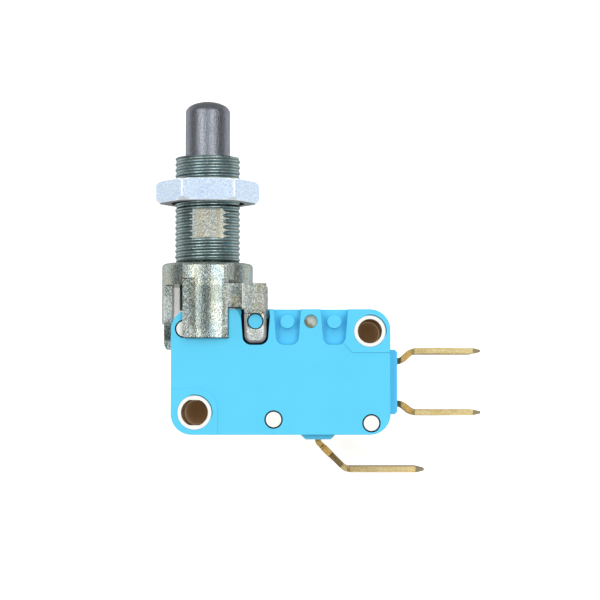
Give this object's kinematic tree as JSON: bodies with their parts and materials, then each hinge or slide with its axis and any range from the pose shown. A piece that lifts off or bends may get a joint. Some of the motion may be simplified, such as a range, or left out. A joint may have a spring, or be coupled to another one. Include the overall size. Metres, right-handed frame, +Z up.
{
  "type": "panel-mount plunger snap switch",
  "caption": "Snap-action switch in a moulded case, with a threaded panel bushing and hex nut, a sprung domed plunger and push-on tabs.",
  "frame": {"origin": "on the bushing axis, on the collar face that meets the panel", "axes": "+Z up along the plunger, +X along the case to the tab end, +Y from the front cover to the rear base"},
  "size_m": [0.0419, 0.012, 0.0478],
  "materials": {
    "blue_moulding": "satin moulded plastic",
    "white_moulding": "satin moulded plastic",
    "zinc_casting": "zinc die casting with a pale yellow passivation",
    "bright_zinc": "bright zinc plate",
    "dark_steel": "dark worn steel",
    "spring_wire": "drawn wire",
    "brass_strip": "rolled brass strip",
    "silver_contact": "polished contact metal",
    "dark_moulding": "dark moulded plastic"
  },
  "bodies": {
    "housing": {"case_cover": "blue_moulding", "case_base": "white_moulding", "bushing": "zinc_casting", "return_spring": "spring_wire", "spring_seat": "spring_wire", "seat_ring": "spring_wire", "lever_pin": "dark_steel", "common_terminal": "brass_strip", "upper_terminal": "brass_strip", "lower_terminal": "brass_strip", "upper_contact": "silver_contact", "lower_contact": "silver_contact"},
    "plunger": {"plunger_rod": "dark_steel", "rod_ring": "dark_steel", "overtravel_spring": "spring_wire"},
    "pusher": {"push_pin": "dark_moulding", "switch_button": "dark_moulding"},
    "lever": {"actuator_lever": "dark_steel"},
    "rocker": {"contact_arm": "brass_strip", "moving_contact": "silver_contact", "snap_spring": "spring_wire"},
    "nut": {"panel_nut": "bright_zinc"}
  },
  "joints": [
    {"name": "plunger_slide", "type": "slide", "parent": "housing", "child": "plunger", "axis": [0, 0, -1], "range_m": [0, 0.005], "stiffness_N_per_m": 800, "springref_m": -0.003, "deforming": ["return_spring", "overtravel_spring"]},
    {"name": "pusher_slide", "type": "slide", "parent": "housing", "child": "pusher", "axis": [0, 0, -1], "range_m": [0, 0.0015]},
    {"name": "lever_turn", "type": "hinge", "parent": "housing", "child": "lever", "pos_m": [-0.0024, 0, -0.0152], "axis": [0, 1, 0], "range_deg": [0, 26.28]},
    {"name": "rocker_turn", "type": "hinge", "parent": "housing", "child": "rocker", "pos_m": [0.00635, 0, -0.01524], "axis": [0, 1, 0], "range_deg": [0, 5.31]},
    {"name": "nut_turn", "type": "hinge", "parent": "housing", "child": "nut", "pos_m": [0, 0, 0.00925], "axis": [0, 0, 1], "continuous": true}
  ],
  "couplings": [
    {"joint": "pusher_slide", "follows": "plunger_slide", "ratio": 0.3},
    {"joint": "lever_turn", "follows": "plunger_slide", "rad_per_m": 91.71},
    {"joint": "rocker_turn", "follows": "plunger_slide", "rad_per_m": 18.5}
  ]
}
